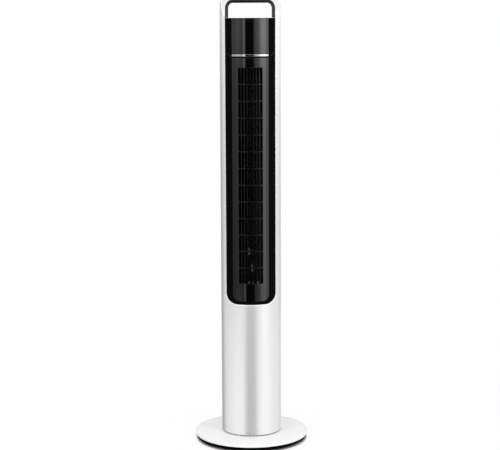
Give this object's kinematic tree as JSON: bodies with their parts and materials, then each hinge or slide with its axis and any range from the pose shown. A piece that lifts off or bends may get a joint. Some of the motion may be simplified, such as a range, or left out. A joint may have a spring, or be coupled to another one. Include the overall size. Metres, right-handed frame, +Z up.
{
  "type": "tower fan",
  "caption": "Tall round tower fan with a slotted air outlet, an arched carry handle and a swinging column on a weighted round base.",
  "frame": {"origin": "centre of the round base, on the floor under the feet", "axes": "+Z up along the column; -Y towards the front, where the air comes out; +X to the right as seen from the front"},
  "size_m": [0.304, 0.304, 1.185],
  "materials": {
    "shell_white": "pearl white, satin sheen",
    "base_white": "white, semi-gloss",
    "panel_black": "piano black, high gloss",
    "frame_black": "black, satin",
    "grip_black": "black, half gloss",
    "inner_black": "black, moulded matt",
    "button_black": "dark grey, fine matt",
    "chrome_trim": "bright plated",
    "rubber": "matt",
    "steel": "plain turned or pressed",
    "zinc": "zinc plated",
    "bronze": "sintered",
    "nylon": "natural nylon",
    "circuit_board": "solder resist",
    "wire": "sleeved wires"
  },
  "bodies": {
    "base": {"base_plate": "frame_black", "base_cover": "base_white", "ballast_plate": "steel", "foot_1": "rubber", "foot_2": "rubber", "foot_3": "rubber", "foot_4": "rubber", "foot_5": "rubber", "foot_6": "rubber", "cord_grommet": "rubber", "swivel_post": "steel", "sector_gear": "nylon", "glide_ring": "nylon", "thrust_washer": "nylon", "retaining_nut": "zinc"},
    "column": {"turntable": "frame_black", "oscillation_motor": "zinc", "front_shell": "shell_white", "rear_shell": "shell_white", "intake_grille": "shell_white", "shell_screw_1": "zinc", "shell_screw_2": "zinc", "shell_screw_3": "zinc", "shell_screw_4": "zinc", "front_bezel": "frame_black", "outlet_grille": "panel_black", "head_panel": "panel_black", "trim_strip": "chrome_trim", "power_board": "circuit_board", "wire_harness": "wire", "handle_arch": "shell_white", "handle_liner": "grip_black", "top_deck": "panel_black", "control_board": "circuit_board", "duct_floor": "inner_black", "duct_ceiling": "inner_black", "scroll_wall": "inner_black", "tongue_wall": "inner_black", "fan_motor": "zinc", "rubber_mount_1": "rubber", "rubber_mount_2": "rubber", "rubber_mount_3": "rubber", "bearing_boot": "rubber", "upper_bearing": "bronze"},
    "impeller": {"impeller": "inner_black", "drive_hub": "rubber", "fan_shaft": "steel", "impeller_pin": "steel"},
    "oscillation_pinion": {"oscillation_pinion": "nylon"},
    "oscillation_button": {"oscillation_button": "button_black"},
    "timer_button": {"timer_button": "button_black"},
    "power_button": {"power_button": "button_black"},
    "speed_button": {"speed_button": "button_black"},
    "mode_button": {"mode_button": "button_black"}
  },
  "joints": [
    {"name": "column_swing", "type": "hinge", "parent": "base", "child": "column", "pos_m": [0, 0, 0.03], "axis": [0, 0, 1], "range_deg": [-35, 35]},
    {"name": "impeller_spin", "type": "hinge", "parent": "column", "child": "impeller", "pos_m": [0, 0.01, 0.7185], "axis": [0, 0, 1], "continuous": true},
    {"name": "pinion_turn", "type": "hinge", "parent": "column", "child": "oscillation_pinion", "pos_m": [0, 0.042, 0.0128], "axis": [0, 0, 1], "range_deg": [-90, 90]},
    {"name": "oscillation_press", "type": "slide", "parent": "column", "child": "oscillation_button", "axis": [0, 0, -1], "range_m": [0, 0.0012], "stiffness_N_per_m": 400, "springref_m": -0.0005},
    {"name": "timer_press", "type": "slide", "parent": "column", "child": "timer_button", "axis": [0, 0, -1], "range_m": [0, 0.0012], "stiffness_N_per_m": 400, "springref_m": -0.0005},
    {"name": "power_press", "type": "slide", "parent": "column", "child": "power_button", "axis": [0, 0, -1], "range_m": [0, 0.0012], "stiffness_N_per_m": 400, "springref_m": -0.0005},
    {"name": "speed_press", "type": "slide", "parent": "column", "child": "speed_button", "axis": [0, 0, -1], "range_m": [0, 0.0012], "stiffness_N_per_m": 400, "springref_m": -0.0005},
    {"name": "mode_press", "type": "slide", "parent": "column", "child": "mode_button", "axis": [0, 0, -1], "range_m": [0, 0.0012], "stiffness_N_per_m": 400, "springref_m": -0.0005}
  ],
  "couplings": [
    {"joint": "pinion_turn", "follows": "column_swing", "ratio": 2.5}
  ]
}
